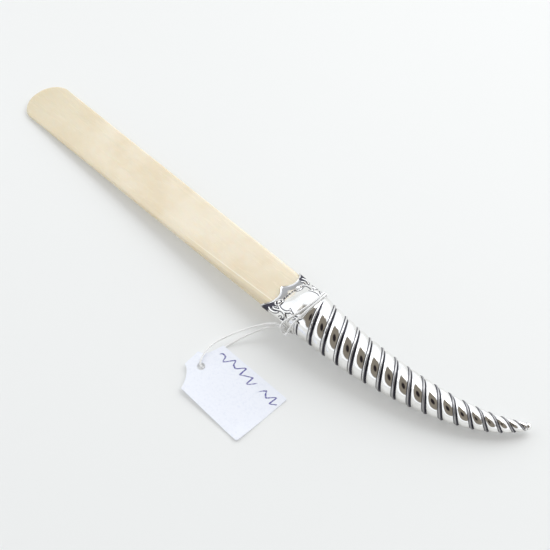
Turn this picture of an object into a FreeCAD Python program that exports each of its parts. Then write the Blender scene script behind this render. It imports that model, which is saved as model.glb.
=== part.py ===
import FreeCAD, Part
import math
import os

# Paper knife with a bone blade, a silver collar and a fluted silver horn handle,
# lying on a table with a strung card tag hitched round its neck.
# Millimetres. +X runs from the blade's tip to the handle, +Y is the side that the
# horn curls towards, +Z is up. "Station" is the distance along the knife's axis,
# counted from the collar's front edge. All work is done from that edge and moved
# to the middle of the knife's footprint at the end.

V = FreeCAD.Vector

# ---- driving dimensions ----
blade_length = 169.8          # tip to collar
blade_tip_width = 24.0
blade_root_width = 22.2
blade_tip_thickness = 1.5
blade_body_thickness = 2.4    # where the thickening starts
blade_root_thickness = 4.4
thickening_length = 45.0      # the last stretch before the collar
blade_bevel = 0.7             # the long bevels fall this much for each millimetre across
tip_round = 9.6               # length of the half ellipse that ends the blade
tang_width = 12.0
tang_thickness = 3.4
tang_length = 24.0
blade_in_collar = 2.4

root_height = 10.0            # axis height at the collar's front edge
neck_radius = 10.6
neck_station = 16.0           # where the round horn begins
collar_end = 20.5
handle_end = 121.5
horn_length = 125.5           # station where the horn's radius would reach zero
horn_power = 0.54
neck_lift = 2.1               # the neck stands clear of the table by this much
neck_lift_end = 50.0          # station where the horn's belly meets the table
neck_sweep = 1.2              # the neck leans to the near side before the horn curls back
tip_lift = 2.0
bend_start = 12.2
bend_even = 22.8              # degrees of turn shared evenly along the horn
bend_hook = 36.4              # degrees more, gathered near the tip
bend_power = 5.3

collar_front_half_width = 11.7
collar_front_half_height = 2.95
collar_cusp = 1.3             # how far the cusps of the front edge stand forward
collar_dip = 2.4              # how far the two hollows on each face fall back
collar_squareness = 0.62      # the front's outline is a squared ellipse, the back's is round
wall = 0.45                   # silver sheet
filling_gap = 0.15            # the poured filling shrinks from the sheet as it sets

flute_pitch = 6.9
flute_origin = 18.0
flute_starts = 2
lean_side = 0.159             # the flutes lean over the horn, as shares of its radius
lean_top = 0.167
flute_fade = (20.5, 27.0)

bead_radius = 1.75

string_diameter = 0.9
hitch_station = 17.0

card_thickness = 0.35
card_width = 29.2
card_length = 37.3            # hole to square end
card_shoulder = 0.6           # hole to shoulders, towards the square end
card_tab_end = 6.0            # hole to the tab's end
card_tab_width = 8.4
card_hole_radius = 1.75
card_turn = 1.6               # degrees, seen from above
card_rise = 1.45              # underside height at the tab's end
hole_place = (-0.9, -47.5)

# Turns of the string round the neck: station, degrees round the neck, and radius.
# It comes out under the bight, wraps once, crosses itself as the bight, and wraps back.
hitch_turns = [
    (14.5, 213, 11.6),
    (14.3, 240, 11.55),
    (14.2, 270, 11.55),
    (14.3, 300, 11.55),
    (14.6, 330, 11.55),
    (15.3, 360, 11.55),
    (17.2, 390, 11.55),
    (19.4, 420, 11.55),
    (20.1, 448, 11.55),
    (19.0, 476, 11.55),
    (16.4, 503, 11.7),
    (13.6, 525, 12.7),
    (13.0, 545, 13.3),
    (14.9, 560, 13.3),
    (17.0, 546, 13.2),
    (17.8, 527, 12.6),
    (19.0, 503, 11.7),
    (20.5, 476, 11.55),
    (21.2, 448, 11.55),
    (20.4, 419, 11.55),
    (18.5, 390, 11.55),
    (16.5, 359, 11.55),
    (15.7, 329, 11.55),
    (15.4, 299, 11.55),
    (15.3, 269, 11.55),
    (15.4, 239, 11.55),
    (15.6, 213, 11.6),
]
hitch_exits = [(14.5, -12.9, 10.6), (15.9, -12.9, 9.6)]

# The string's route from the hitch, through the card's hole and back.
string_route = [
    (10.4, -13.2, 10.1),
    (7.4, -15.0, 9.1),
    (3.7, -18.9, 7.2),
    (0.1, -23.8, 5.2),
    (-2.8, -29.4, 3.7),
    (-4.7, -35.2, 2.9),
    (-4.8, -39.9, 2.6),
    (-3.8, -43.9, 2.5),
    (-2.1, -47.3, 2.2),
    (0.2, -47.6, 0.5),
    (-0.3, -44.2, 0.48),
    (-1.2, -39.2, 0.48),
    (-1.3, -34.0, 0.48),
    (-0.1, -29.4, 0.9),
    (2.2, -24.6, 3.4),
    (5.0, -19.9, 5.9),
    (8.0, -15.7, 8.0),
    (11.2, -13.3, 9.1),
]


# ---- the axis and the horn's shape ----
def bend_angle(station):
    share = max(0.0, (station - bend_start) / (horn_length - bend_start))
    return math.radians(bend_even * share + bend_hook * share ** bend_power)


def horn_radius(station):
    share = (station - neck_station) / (horn_length - neck_station)
    return neck_radius * (1.0 - share) ** horn_power


def smooth(low, high, value):
    share = min(1.0, max(0.0, (value - low) / (high - low)))
    return share * share * (3.0 - 2.0 * share)


def axis_height(station):
    """The blade rises to the collar, and the horn lies along the table."""
    rise = (root_height - blade_tip_thickness / 2) / blade_length
    blade_line = root_height + rise * station
    share = max(0.0, (station - neck_station) / (horn_length - neck_station))
    lift = neck_lift * (1.0 - smooth(neck_station, neck_lift_end, station)) + tip_lift * share ** 3
    horn_line = horn_radius(max(neck_station, station)) + lift
    mix = smooth(0.0, 24.0, station)
    return blade_line * (1.0 - mix) + horn_line * mix


def build_axis(step=0.25):
    places = [(0.0, 0.0)]
    count = int(horn_length / step) + 1
    for i in range(count):
        angle = bend_angle((i + 0.5) * step)
        x, y = places[-1]
        places.append((x + step * math.cos(angle), y + step * math.sin(angle)))
    return places, step


axis_places, axis_step = build_axis()


def axis_point(station):
    if station <= 0.0:
        return V(station, 0.0, axis_height(station))
    i = min(int(station / axis_step), len(axis_places) - 2)
    share = station / axis_step - i
    x = axis_places[i][0] * (1 - share) + axis_places[i + 1][0] * share
    y = axis_places[i][1] * (1 - share) + axis_places[i + 1][1] * share
    return V(x, y - neck_sweep * smooth(0.0, neck_station, station), axis_height(station))


def side_way(station):
    angle = bend_angle(station)
    return V(-math.sin(angle), math.cos(angle), 0.0)


def on_section(station, angle, half_width, half_height, power=1.0):
    """A point of the knife's cross-section; angle 0 is the far side, 90 degrees the top."""
    across = math.copysign(abs(math.cos(angle)) ** power, math.cos(angle))
    above = math.copysign(abs(math.sin(angle)) ** power, math.sin(angle))
    if abs(math.cos(angle)) < 1e-9:
        across = 0.0
    if abs(math.sin(angle)) < 1e-9:
        above = 0.0
    centre = axis_point(station)
    return centre + side_way(station) * (half_width * across) + V(0, 0, half_height * above)


# ---- solids from a lattice of control points ----
def spline_face(rows):
    """A B-spline face whose control points are rows of vectors, clamped at its edges."""
    def knots(count, degree):
        spans = count - degree
        return [degree + 1] + [1] * (spans - 1) + [degree + 1], [float(k) for k in range(spans + 1)]
    degree_u = min(3, len(rows) - 1)
    degree_v = min(3, len(rows[0]) - 1)
    mults_u, knots_u = knots(len(rows), degree_u)
    mults_v, knots_v = knots(len(rows[0]), degree_v)
    surface = Part.BSplineSurface()
    surface.buildFromPolesMultsKnots(
        rows, mults_u, mults_v, knots_u, knots_v, False, False, degree_u, degree_v
    )
    return surface.toShape()


def solid_from_faces(faces):
    shell = Part.Shell(faces)
    shell.sewShape()
    solid = Part.Solid(Part.Shell(shell.Faces))
    if solid.Volume < 0:
        solid.reverse()
    return solid


def half_shell(outer, inner):
    """A wall between two lattices of control points with the same rows and columns."""
    first, last = 0, len(outer) - 1
    faces = [
        spline_face(outer),
        spline_face(inner),
        spline_face([[row[0] for row in outer], [row[0] for row in inner]]),
        spline_face([[row[-1] for row in outer], [row[-1] for row in inner]]),
        spline_face([outer[first], inner[first]]),
        spline_face([outer[last], inner[last]]),
    ]
    return solid_from_faces(faces)


def angles(half, count=16):
    start = 0.0 if half == "top" else math.pi
    return [start + math.pi * k / count for k in range(count + 1)]


# ---- the blade ----
def blade_section(x, width, thickness, land):
    """The corners of an eight-sided outline: two broad sides, bevels and a land along each edge."""
    half, top, edge = width / 2, thickness / 2, land / 2
    flat = half - (top - edge) / blade_bevel
    corners = [
        (-flat, top), (flat, top), (half, edge), (half, -edge),
        (flat, -top), (-flat, -top), (-half, -edge), (-half, edge),
    ]
    return [V(x, y, z) for y, z in corners]


def flat_sided(sections):
    """A solid with flat faces between outlines that have the same corners."""
    outlines = [sections[0], sections[-1]]
    for one, two in zip(sections, sections[1:]):
        for k in range(len(one)):
            after = (k + 1) % len(one)
            outlines.append([one[k], one[after], two[after], two[k]])
    return solid_from_faces([Part.Face(Part.makePolygon(o + o[:1])) for o in outlines])


def tip_outline():
    """The blade seen from above: a half ellipse, and straight sides that miss its body."""
    half = blade_tip_width / 2 + 0.01
    centre = V(tip_round - blade_length, 0, 0)
    back = blade_in_collar + 1.0
    ellipse = Part.Ellipse(centre + V(0, half, 0), centre + V(-tip_round, 0, 0), centre)
    end = ellipse.toShape(0, math.pi)
    first, last = end.Vertexes[0].Point, end.Vertexes[-1].Point
    corner_first, corner_last = V(back, first.y, 0), V(back, last.y, 0)
    outline = Part.Wire([
        end,
        Part.makeLine(last, corner_last),
        Part.makeLine(corner_last, corner_first),
        Part.makeLine(corner_first, first),
    ])
    return Part.Face(outline).extrude(V(0, 0, 2 * blade_root_thickness))


def make_blade():
    def width_at(x):
        share = -x / blade_length
        return blade_root_width + (blade_tip_width - blade_root_width) * share

    stations = [
        (-blade_length - 1.0, blade_tip_thickness, 0.7),
        (-blade_length / 2 - thickening_length / 2, blade_tip_thickness + 0.5, 0.9),
        (-thickening_length, blade_body_thickness, 1.2),
        (-thickening_length / 2, blade_body_thickness + 0.8, 1.3),
        (blade_in_collar, blade_root_thickness, 1.3),
    ]
    body = flat_sided([blade_section(x, width_at(x), t, land) for x, t, land in stations])
    plan = tip_outline()
    plan.translate(V(0, 0, -blade_root_thickness))
    body = body.common(plan)
    tang = Part.makeBox(
        tang_length + 1.0, tang_width, tang_thickness,
        V(blade_in_collar - 1.0, -tang_width / 2, -tang_thickness / 2)
    )
    blade = body.fuse(tang).removeSplitter()
    slope = math.degrees(math.atan((root_height - blade_tip_thickness / 2) / blade_length))
    blade.rotate(V(0, 0, 0), V(0, 1, 0), -slope)
    blade.translate(V(0, 0, root_height))
    return blade


# ---- the collar ----
def collar_size(station):
    """Half width, half height and squareness of the collar's section."""
    grow = smooth(0.0, neck_station - 0.5, station)
    round_radius = horn_radius(max(neck_station, station))
    half_width = collar_front_half_width * (1 - grow) + round_radius * grow
    half_height = collar_front_half_height * (1 - grow) + round_radius * grow
    squareness = collar_squareness + (1.0 - collar_squareness) * smooth(0.0, 12.0, station)
    return half_width, half_height, squareness


def collar_front(angle):
    """The front edge's station: cusps at both seams and at the middle of each face."""
    across = abs(math.cos(angle)) ** collar_squareness
    return -collar_cusp + (collar_dip + collar_cusp) * math.sin(math.pi * across) ** 0.8


def make_collar(half):
    outer, inner = [], []
    count = 14
    for i in range(count + 1):
        outer_row, inner_row = [], []
        for angle in angles(half, 32):
            start = collar_front(angle)
            station = start + (collar_end - start) * i / count
            half_width, half_height, power = collar_size(station)
            outer_row.append(on_section(station, angle, half_width, half_height, power))
            inner_row.append(
                on_section(station, angle, half_width - wall, half_height - wall, power)
            )
        outer.append(outer_row)
        inner.append(inner_row)
    return half_shell(outer, inner)


# ---- the horn handle ----
def flute_depth(station, radius, angle):
    lean = radius * (lean_side * math.cos(angle) - lean_top * math.sin(angle))
    turn = flute_starts * angle / (2 * math.pi)
    phase = (station - flute_origin + lean) / flute_pitch - turn
    groove = (0.5 + 0.5 * math.cos(2 * math.pi * phase)) ** 2
    deepest = (0.35 + 0.05 * radius) * smooth(*flute_fade, station)
    return deepest * groove


def horn_inner_radius(station):
    radius = horn_radius(station)
    return radius - (0.35 + 0.05 * radius) - wall


def make_horn(half):
    rows_per_flute = 8
    count = round((handle_end - collar_end) / flute_pitch * rows_per_flute)
    outer, inner = [], []
    for i in range(count + 1):
        station = collar_end + (handle_end - collar_end) * i / count
        radius = horn_radius(station)
        outer_row, inner_row = [], []
        for angle in angles(half):
            crest = radius - flute_depth(station, radius, angle)
            outer_row.append(on_section(station, angle, crest, crest))
            hollow = horn_inner_radius(station)
            inner_row.append(on_section(station, angle, hollow, hollow))
        outer.append(outer_row)
        inner.append(inner_row)
    return half_shell(outer, inner)


# ---- what the shells are filled with ----
def make_filling(blade):
    first = blade_in_collar + collar_dip + 0.8
    gap = wall + filling_gap
    stations = [first + (collar_end - first) * k / 6 for k in range(7)]
    stations += [collar_end + (handle_end - 1.0 - collar_end) * k / 24 for k in range(1, 25)]
    halves = {}
    for half in ("top", "bottom"):
        rows = []
        for station in stations:
            if station <= collar_end:
                half_width, half_height, power = collar_size(station)
                half_width -= gap
                half_height -= gap
                inside = horn_inner_radius(collar_end) - filling_gap
                blend = smooth(collar_end - 4.0, collar_end, station)
                half_width = half_width * (1 - blend) + inside * blend
                half_height = half_height * (1 - blend) + inside * blend
            else:
                half_width = half_height = horn_inner_radius(station) - filling_gap
                power = 1.0
            rows.append([
                on_section(station, a, half_width, half_height, power) for a in angles(half)
            ])
        halves[half] = rows
    top, bottom = halves["top"], halves["bottom"]
    front = spline_face([top[0], list(reversed(bottom[0]))])
    back = spline_face([top[-1], list(reversed(bottom[-1]))])
    filling = solid_from_faces([spline_face(top), spline_face(bottom), front, back])
    return filling.cut(blade)


def make_tip_bead():
    centre = axis_point(handle_end)
    angle = bend_angle(handle_end)
    way = V(math.cos(angle), math.sin(angle), 0)
    flat_at = -30.0
    offset = bead_radius * math.sin(math.radians(-flat_at))
    return Part.makeSphere(bead_radius, centre + way * offset, way, flat_at, 90, 360)


# ---- the string and its card ----
def tube(name, points, diameter):
    """A round tube on straight runs joined by tangent arcs."""
    edges, here, radii = [], points[0], []
    for before, corner, after in zip(points, points[1:], points[2:]):
        into, out = corner - before, after - corner
        turn = into.getAngle(out)
        reach = 0.45 * min(into.Length, out.Length)
        radii.append(reach / math.tan(turn / 2))
        into.normalize()
        out.normalize()
        start, end = corner - into * reach, corner + out * reach
        inward = out - into
        inward.normalize()
        sagitta = radii[-1] * (1 / math.cos(turn / 2) - 1)
        edges.append(Part.LineSegment(here, start).toShape())
        edges.append(Part.Arc(start, corner + inward * sagitta, end).toShape())
        here = end
    edges.append(Part.LineSegment(here, points[-1]).toShape())
    path = Part.Wire(edges)
    profile = Part.Wire([Part.makeCircle(diameter / 2, points[0], points[1] - points[0])])
    solid = path.makePipeShell([profile], True, False)
    exact = math.pi * diameter ** 2 / 4 * path.Length
    print(name, "radii", [round(r, 1) for r in radii])
    print(name, "length", round(path.Length, 1), "volume share", round(solid.Volume / exact, 4))
    return solid


def round_neck(station, degrees, radius):
    """A point beside the neck; 0 degrees is the far side, 90 the top, 180 the near side."""
    middle = axis_point(hitch_station)
    way = axis_point(hitch_station + 1.0) - axis_point(hitch_station - 1.0)
    way.normalize()
    side = V(0, 0, 1).cross(way)
    side.normalize()
    up = way.cross(side)
    angle = math.radians(degrees)
    place = middle + way * (station - hitch_station)
    return place + side * (radius * math.cos(angle)) + up * (radius * math.sin(angle))


def make_hitch():
    turns = [round_neck(*row) for row in hitch_turns]
    first, last = V(*hitch_exits[0]), V(*hitch_exits[1])
    ends = V(*string_route[0]), V(*string_route[-1])
    return tube("hitch", [ends[0], first] + turns + [last, ends[1]], string_diameter)


def make_tag():
    half = card_width / 2
    tab = card_tab_width / 2

    def shoulder(side):
        start = V(card_shoulder, side * half, 0)
        end = V(-card_tab_end, side * tab, 0)
        through = V(-card_tab_end * 0.32, side * (tab + (half - tab) * 0.34), 0)
        return start, through, end

    upper, lower = shoulder(1), shoulder(-1)
    corner_far = V(card_length, half, 0)
    corner_near = V(card_length, -half, 0)
    outline = Part.Wire([
        Part.Arc(*upper).toShape(),
        Part.makeLine(upper[2], lower[2]),
        Part.Arc(*reversed(lower)).toShape(),
        Part.makeLine(lower[0], corner_near),
        Part.makeLine(corner_near, corner_far),
        Part.makeLine(corner_far, upper[0]),
    ])
    card = Part.Face(outline).extrude(V(0, 0, card_thickness))
    card = card.cut(Part.makeCylinder(card_hole_radius, 3 * card_thickness, V(0, 0, -card_thickness)))
    slope = math.degrees(math.atan(card_rise / (card_length + card_tab_end)))
    card.rotate(V(card_length, 0, 0), V(0, 1, 0), slope)
    card.rotate(V(0, 0, 0), V(0, 0, 1), card_turn)
    card.translate(V(hole_place[0], hole_place[1], 0))
    card.translate(V(0, 0, -card.BoundBox.ZMin))
    return card


def build():
    blade = make_blade()
    parts = {
        "blade": blade,
        "collar_top_shell": make_collar("top"),
        "collar_bottom_shell": make_collar("bottom"),
        "handle_top_shell": make_horn("top"),
        "handle_bottom_shell": make_horn("bottom"),
        "pitch_filling": make_filling(blade),
        "tip_bead": make_tip_bead(),
        "string_hitch": make_hitch(),
        "string": tube("string", [V(*p) for p in string_route], string_diameter),
        "stock_tag": make_tag(),
    }
    knife = [name for name in parts if name not in ("string_hitch", "string", "stock_tag")]
    box = Part.makeCompound([parts[name] for name in knife]).optimalBoundingBox(False)
    shift = V(-(box.XMin + box.XMax) / 2, -(box.YMin + box.YMax) / 2, -box.ZMin)
    print("shift", [round(c, 3) for c in shift], "size", [round(c, 1) for c in (
        box.XLength, box.YLength, box.ZLength)])
    os.makedirs("parts", exist_ok=True)
    for name, shape in parts.items():
        shape.translate(shift)
        shape.exportStep(f"parts/{name}.step")
        print(name, "valid", shape.isValid(), "solids", len(shape.Solids), "volume", round(shape.Volume, 1))


build()
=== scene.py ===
import math
import bpy
import numpy as np
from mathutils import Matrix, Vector


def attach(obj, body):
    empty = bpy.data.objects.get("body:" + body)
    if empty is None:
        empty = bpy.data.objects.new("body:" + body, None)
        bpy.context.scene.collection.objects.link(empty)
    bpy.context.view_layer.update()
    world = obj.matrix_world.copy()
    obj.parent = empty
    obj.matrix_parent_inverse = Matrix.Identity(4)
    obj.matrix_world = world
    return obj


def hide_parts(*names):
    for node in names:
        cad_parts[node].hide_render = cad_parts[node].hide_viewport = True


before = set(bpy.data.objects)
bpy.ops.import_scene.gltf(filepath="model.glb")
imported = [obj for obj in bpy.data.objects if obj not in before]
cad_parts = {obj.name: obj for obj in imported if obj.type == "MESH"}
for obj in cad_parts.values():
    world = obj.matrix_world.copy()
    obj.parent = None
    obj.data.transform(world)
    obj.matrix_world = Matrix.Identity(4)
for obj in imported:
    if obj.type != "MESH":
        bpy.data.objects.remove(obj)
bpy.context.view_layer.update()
scene = bpy.context.scene
mm = 0.001
twoPi = 2 * math.pi

# Shapes are worked out in millimetres from the middle of the collar's front edge:
# "station" runs along the knife from there, angle 0 is the far side and 90 degrees the top.
collarFront = np.array([26.288, -9.013, -0.011])


def toFrame(points):
    return (np.asarray(points, float) + collarFront) * mm


# the camera
cameraSet = {
    "azimuth": 45.5,
    "elevation": 56.0,
    "distance": 623.0,
    "target": (13.3, -0.6, 0.0),
    "lens": 91.64,
}


def makeCamera(look):
    azimuth, elevation = math.radians(look["azimuth"]), math.radians(look["elevation"])
    back = Vector((
        math.sin(azimuth) * math.cos(elevation),
        -math.cos(azimuth) * math.cos(elevation),
        math.sin(elevation),
    ))
    data = bpy.data.cameras.new("camera")
    data.lens = look["lens"]
    data.clip_start, data.clip_end = 0.05, 20.0
    camera = bpy.data.objects.new("camera", data)
    scene.collection.objects.link(camera)
    camera.location = (Vector(look["target"]) + back * look["distance"]) * mm
    camera.rotation_euler = (-back).to_track_quat("-Z", "Y").to_euler()
    scene.camera = camera
    scene.view_settings.view_transform = "Standard"
    return back


towardsCamera = makeCamera(cameraSet)
print("camera ready")


# helpers for node trees and meshes
class Sum:
    # a socket, or a fixed number, that makes Math nodes as it is added and multiplied
    def __init__(self, tree, socket):
        self.tree = tree
        self.socket = socket

    def feed(self, slot):
        if isinstance(self.socket, (int, float)):
            slot.default_value = self.socket
        else:
            self.tree.links.new(self.socket, slot)

    def make(self, operation, *others, swap=False):
        node = self.tree.nodes.new("ShaderNodeMath")
        node.operation = operation
        terms = [self] + [o if isinstance(o, Sum) else Sum(self.tree, o) for o in others]
        for term, slot in zip(reversed(terms) if swap else terms, node.inputs):
            term.feed(slot)
        return Sum(self.tree, node.outputs[0])

    def __add__(self, other):
        return self.make("ADD", other)

    def __sub__(self, other):
        return self.make("SUBTRACT", other)

    def __rsub__(self, other):
        return self.make("SUBTRACT", other, swap=True)

    def __mul__(self, other):
        return self.make("MULTIPLY", other)

    __rmul__ = __mul__

    def __truediv__(self, other):
        return self.make("DIVIDE", other)

    def __pow__(self, other):
        return self.make("POWER", other)

    def smooth(self, low, high, outLow=0.0, outHigh=1.0):
        node = self.tree.nodes.new("ShaderNodeMapRange")
        node.interpolation_type = "SMOOTHSTEP"
        self.feed(node.inputs["Value"])
        ends = {"From Min": low, "From Max": high, "To Min": outLow, "To Max": outHigh}
        for name, value in ends.items():
            (value if isinstance(value, Sum) else Sum(self.tree, value)).feed(node.inputs[name])
        return Sum(self.tree, node.outputs[0])


def addNode(tree, kind, inputs=None, **settings):
    # an input may be a fixed value, a Sum, a socket, or a node, which stands for its first output
    node = tree.nodes.new(kind)
    for name, value in settings.items():
        setattr(node, name, value)
    for name, value in (inputs or {}).items():
        slot = node.inputs[name]
        if isinstance(value, Sum):
            value.feed(slot)
        elif isinstance(value, (bpy.types.NodeSocket, bpy.types.Node)):
            tree.links.new(getattr(value, "outputs", [value])[0], slot)
        else:
            slot.default_value = value
    return node


def vectorMath(tree, operation, one, two):
    return addNode(tree, "ShaderNodeVectorMath", {0: one, 1: two}, operation=operation).outputs[0]


def splitPlace(tree, vector):
    spot = addNode(tree, "ShaderNodeSeparateXYZ", {0: vector})
    return Sum(tree, spot.outputs[0]), Sum(tree, spot.outputs[1])


def startTree(name, sockets):
    # a geometry tree with a geometry output, and its named inputs as a dictionary
    tree = bpy.data.node_groups.new(name, "GeometryNodeTree")
    tree.interface.new_socket("Geometry", in_out="OUTPUT", socket_type="NodeSocketGeometry")
    for label, kind in sockets.items():
        tree.interface.new_socket(label, in_out="INPUT", socket_type="NodeSocket" + kind)
    inputs = tree.nodes.new("NodeGroupInput")
    return tree, {label: inputs.outputs[label] for label in sockets}


def endTree(tree, geometry, material):
    realized = addNode(tree, "GeometryNodeRealizeInstances", {"Geometry": geometry})
    shaded = addNode(tree, "GeometryNodeSetShadeSmooth", {
        "Geometry": realized, "Shade Smooth": True})
    painted = addNode(tree, "GeometryNodeSetMaterial", {
        "Geometry": shaded, "Material": material})
    addNode(tree, "NodeGroupOutput", {0: painted})


def growNodes(piece, tree, values):
    modifier = piece.modifiers.new(tree.name, "NODES")
    modifier.node_group = tree
    for item in tree.interface.items_tree:
        if item.in_out == "INPUT" and item.name in values:
            modifier[item.identifier] = values[item.name]


def settle(piece, name=None, sharp=None):
    # the piece's modifiers become a plain mesh of its own
    graph = bpy.context.evaluated_depsgraph_get()
    mesh = bpy.data.meshes.new_from_object(piece.evaluated_get(graph))
    done = bpy.data.objects.new("settled", mesh)
    scene.collection.objects.link(done)
    label = name or piece.name
    bpy.data.objects.remove(piece)
    done.name = mesh.name = label
    if sharp is not None:
        mesh.set_sharp_from_angle(angle=math.radians(sharp))
    return done


def meshPiece(name, points, faces, material, smooth=True):
    mesh = bpy.data.meshes.new(name)
    mesh.from_pydata([tuple(p) for p in points], [], faces)
    mesh.polygons.foreach_set("use_smooth", [smooth] * len(mesh.polygons))
    if material:
        mesh.materials.append(material)
    piece = bpy.data.objects.new(name, mesh)
    scene.collection.objects.link(piece)
    return piece


def gridFaces(rows, columns, closed=False):
    # quads of a lattice whose rows run along the knife, facing away from its axis
    faces = []
    for i in range(rows - 1):
        for j in range(columns if closed else columns - 1):
            k = (j + 1) % columns
            faces.append((i * columns + j, i * columns + k, (i + 1) * columns + k, (i + 1) * columns + j))
    return faces


def storeTarnishAndReflection(piece, values):
    layer = piece.data.attributes.new("tarnish", "FLOAT", "POINT")
    layer.data.foreach_set("value", values.ravel().astype(np.float32))


def thicken(piece, thickness):
    modifier = piece.modifiers.new("wall", "SOLIDIFY")
    modifier.thickness = thickness * mm
    modifier.offset = -1.0


def finishPiece(piece, body, slotName, *nodes):
    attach(piece, body)
    if nodes:
        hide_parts(*nodes)


# materials
def startMaterial(name, **fixed):
    material = bpy.data.materials.new(name)
    material.use_nodes = True
    tree = material.node_tree
    shader = tree.nodes["Principled BSDF"]
    for label, value in fixed.items():
        shader.inputs[label.replace("_", " ")].default_value = value
    return material, tree


def objectPlace(tree, scale=(1, 1, 1)):
    place = addNode(tree, "ShaderNodeTexCoord").outputs["Object"]
    return addNode(tree, "ShaderNodeMapping", {"Vector": place, "Scale": scale}).outputs[0]


def noiseOf(tree, place, scale, detail=4.0, rough=0.5):
    node = addNode(tree, "ShaderNodeTexNoise", {
        "Vector": place, "Scale": scale, "Detail": detail, "Roughness": rough})
    return Sum(tree, node.outputs[0])


def mixColour(tree, share, one, two):
    ends = [v if isinstance(v, bpy.types.NodeSocket) else (*v, 1.0) for v in (one, two)]
    return addNode(tree, "ShaderNodeMix", {0: share, 6: ends[0], 7: ends[1]}, data_type="RGBA").outputs[2]


def finishMaterial(material, colour, roughness, height, distance, strength=1.0):
    tree = material.node_tree
    shader = tree.nodes["Principled BSDF"]
    tree.links.new(colour, shader.inputs["Base Color"])
    roughness.feed(shader.inputs["Roughness"])
    bump = addNode(tree, "ShaderNodeBump", {"Height": height, "Distance": distance, "Strength": strength})
    tree.links.new(bump.outputs[0], shader.inputs["Normal"])
    return material


def attributeOf(tree, name):
    node = addNode(tree, "ShaderNodeAttribute", attribute_name=name)
    return Sum(tree, node.outputs["Fac"])


silverSet = {
    "bright": (0.93, 0.925, 0.91),
    "worn": (0.80, 0.79, 0.77),
    "black": (0.06, 0.058, 0.075),
    "gloss": (0.07, 0.16),
    "blackRoughness": 0.42,
    "smear": 90.0,
    "scratch": (260.0, 3800.0, 3800.0),
}


def makeSilver(look):
    material, tree = startMaterial("silver", Metallic=1.0)
    # darkening from the attribute: oxide in the hollows, and on the collar's sunk band a painted dark
    # reflection
    dark = attributeOf(tree, "tarnish").smooth(0.1, 0.9)
    smears = noiseOf(tree, objectPlace(tree), look["smear"], 5.0, 0.6)
    clean = mixColour(tree, smears.smooth(0.42, 0.75), look["bright"], look["worn"])
    colour = mixColour(tree, dark, clean, look["black"])
    roughness = smears.smooth(0.35, 0.75, *look["gloss"]) + dark * look["blackRoughness"]
    scratches = noiseOf(tree, objectPlace(tree, look["scratch"]), 1.0, 3.0, 0.7)
    pits = noiseOf(tree, objectPlace(tree), 2600.0, 2.0) * dark
    return finishMaterial(material, colour, roughness, scratches * 0.4 + pits, 0.00001, 0.6)


boneSet = {
    "light": (0.80, 0.73, 0.585),
    "deep": (0.735, 0.64, 0.465),
    # the tip's darker tone; the same colour is also the painted shade on the near edge and near bevel
    "tip": (0.66, 0.575, 0.395),
    "grainColour": (0.69, 0.59, 0.42),
    "blotch": 42.0,
    "grain": (16.0, 420.0, 420.0),
    "pores": (220.0, 1500.0, 1500.0),
    "tipFade": (-0.150, -0.085),
    # painted shade: across the blade, the near edge darkens between these places
    "nearEdgeShadeFade": (-0.0205, -0.0145),
    # the painted highlight along the ridge where the near bevel begins: its start and end along and across,
    # and half width
    "ridge": (-0.038, -0.0182, 0.0262, -0.0165, 0.0004),
    "ridgeHighlightFade": 0.03,        # it comes in over this length at its start
    "ridgeHighlightColour": (0.93, 0.88, 0.76),
    # how strongly each shows: the tip's tone, the painted shade on the near edge and on the near bevel, and
    # the painted highlight on the ridge
    "shows": (0.75, 0.4, 0.45, 0.7),
}


def makeBone(look):
    material, tree = startMaterial(
        "bone", Subsurface_Weight=0.22, Subsurface_Scale=0.004, Subsurface_Radius=(1.0, 0.7, 0.42),
        IOR=1.54, Coat_Weight=0.12, Coat_Roughness=0.18)
    place = objectPlace(tree)
    cloud = noiseOf(tree, place, look["blotch"], 4.0, 0.55)
    grain = noiseOf(tree, objectPlace(tree, look["grain"]), 1.0, 4.0, 0.6)
    pores = noiseOf(tree, objectPlace(tree, look["pores"]), 1.0, 2.0, 0.5)
    along, across = splitPlace(tree, place)
    tipShows, nearEdgeShadeShows, bevelShadeShows, ridgeHighlightShows = look["shows"]
    atTip = along.smooth(*look["tipFade"], 1.0, 0.0) * tipShows
    # painted shade along the near edge
    nearEdgeShade = across.smooth(*look["nearEdgeShadeFade"], 1.0, 0.0) * nearEdgeShadeShows
    colour = mixColour(tree, cloud.smooth(0.35, 0.68), look["light"], look["deep"])
    colour = mixColour(tree, grain.smooth(0.5, 0.78, 0.0, 0.35), colour, look["grainColour"])
    colour = mixColour(tree, atTip.make("MAXIMUM", nearEdgeShade), colour, look["tip"])
    startX, startY, endX, endY, wide = look["ridge"]
    slope = (endY - startY) / (endX - startX)
    beside = across - ((along - startX) * slope + startY)
    shown = along.smooth(startX, startX + look["ridgeHighlightFade"])
    # painted shade on the near bevel, on the near side of the ridge line
    bevel = beside.smooth(-wide, 0.0, 1.0, 0.0) * shown
    colour = mixColour(tree, bevel * bevelShadeShows, colour, look["tip"])
    # painted highlight: a lighter line along the ridge
    ridge = beside.make("ABSOLUTE").smooth(0.0, wide, 1.0, 0.0) * shown
    colour = mixColour(tree, ridge * ridgeHighlightShows, colour, look["ridgeHighlightColour"])
    roughness = grain.smooth(0.3, 0.8, 0.2, 0.34)
    return finishMaterial(material, colour, roughness, grain * 0.6 + pores * 0.4, 0.00004, 0.25)


cottonSet = {
    "clean": (0.96, 0.96, 0.95),
    "stained": (0.89, 0.89, 0.88),
    "shade": (0.76, 0.76, 0.76),  # between the fibres
    "fibre": 5200.0,
    "stain": 160.0,
}


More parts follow.
